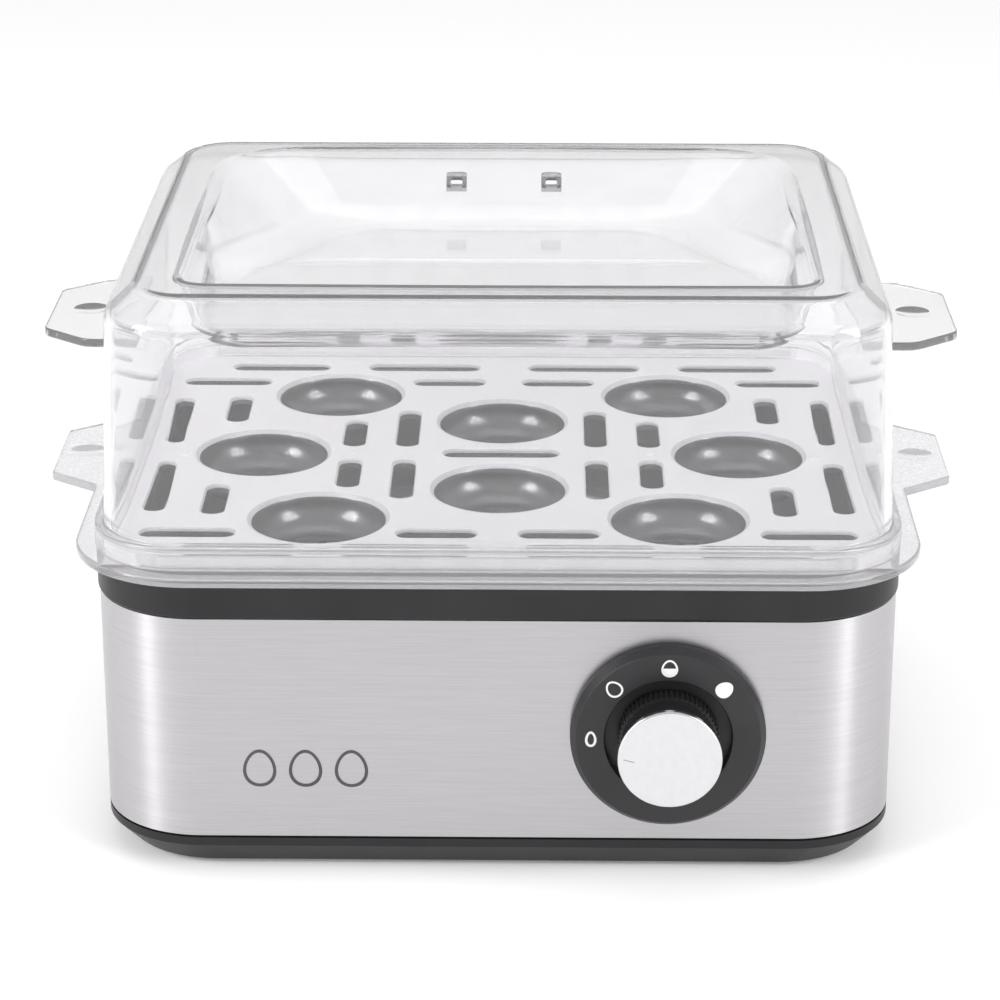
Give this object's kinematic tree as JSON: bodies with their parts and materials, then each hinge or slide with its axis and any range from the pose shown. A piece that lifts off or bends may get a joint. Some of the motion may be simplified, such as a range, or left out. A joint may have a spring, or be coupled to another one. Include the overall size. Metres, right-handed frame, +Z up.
{
  "type": "electric egg cooker",
  "caption": "Box-shaped electric egg cooker: brushed steel body with a dial, clear egg tray with round cups and slots, clear lift-off lid with side tabs.",
  "frame": {"origin": "on the surface the cooker stands on, under the middle of its overall box", "axes": "+X to the right seen from the dial side, +Y away from the dial side, +Z up"},
  "size_m": [0.2686, 0.2176, 0.1685],
  "materials": {
    "black_plastic": "fine satin moulded",
    "foot_rubber": "matt",
    "plated_steel": "zinc plated",
    "brushed_shell": "horizontal brushing",
    "satin_steel": "satin, turned",
    "silicone": "matt",
    "cast_aluminium": "as cast",
    "element_steel": "dull, heat tinted",
    "white_ceramic": "dull",
    "white_sleeve": "matt",
    "dial_plastic": "satin",
    "brass": "bright",
    "bimetal": "dull",
    "terminal_plastic": "matt",
    "lead_brown": "matt",
    "lead_blue": "matt",
    "lead_green": "matt",
    "gland_plastic": "matt",
    "knob_plastic": "polished",
    "silver_cap": "bright satin",
    "clear_tray": "clear, lightly frosted",
    "clear_lid": "clear, polished"
  },
  "bodies": {
    "base": {"base_pan": "black_plastic", "rubber_feet": "foot_rubber", "housing_screws": "plated_steel", "steel_shell": "brushed_shell", "upper_housing": "black_plastic", "heating_plate": "satin_steel", "plate_gasket": "silicone", "diffuser_plate": "cast_aluminium", "heating_element": "element_steel", "element_pins": "plated_steel", "element_beads": "white_ceramic", "clamp_ring": "plated_steel", "clamp_nuts": "plated_steel", "thermal_fuse": "plated_steel", "fuse_sleeve": "white_sleeve", "fuse_clip": "plated_steel", "fuse_screw": "plated_steel", "dial_bezel": "dial_plastic", "bracket_screws": "plated_steel", "thermostat_bracket": "plated_steel", "thermostat_frame": "plated_steel", "thermostat_bush": "brass", "bush_nut": "brass", "thermostat_spacers": "white_ceramic", "contact_leaves": "brass", "bimetal_strip": "bimetal", "stack_rivet": "plated_steel", "terminal_block": "terminal_plastic", "terminal_screws": "brass", "lead_live": "lead_brown", "lead_heater": "white_sleeve", "lead_neutral": "lead_blue", "lead_fuse": "white_sleeve", "lead_earth": "lead_green", "earth_tag": "brass", "earth_screw": "plated_steel", "cord_gland": "gland_plastic"},
    "dial_knob": {"thermostat_shaft": "plated_steel", "shaft_circlip": "plated_steel", "knob": "knob_plastic", "knob_clip": "plated_steel", "knob_cap": "silver_cap"},
    "tray": {"egg_tray": "clear_tray"},
    "cover": {"lid": "clear_lid"}
  },
  "joints": [
    {"name": "knob_turn", "type": "hinge", "parent": "base", "child": "dial_knob", "pos_m": [0.0482, -0.09542, 0.045], "axis": [0, 1, 0], "range_deg": [0, 135]},
    {"name": "tray_lift", "type": "slide", "parent": "base", "child": "tray", "axis": [0, 0, 1], "range_m": [0, 0.12]},
    {"name": "lid_lift", "type": "slide", "parent": "tray", "child": "cover", "axis": [0, 0, 1], "range_m": [0, 0.12]}
  ]
}
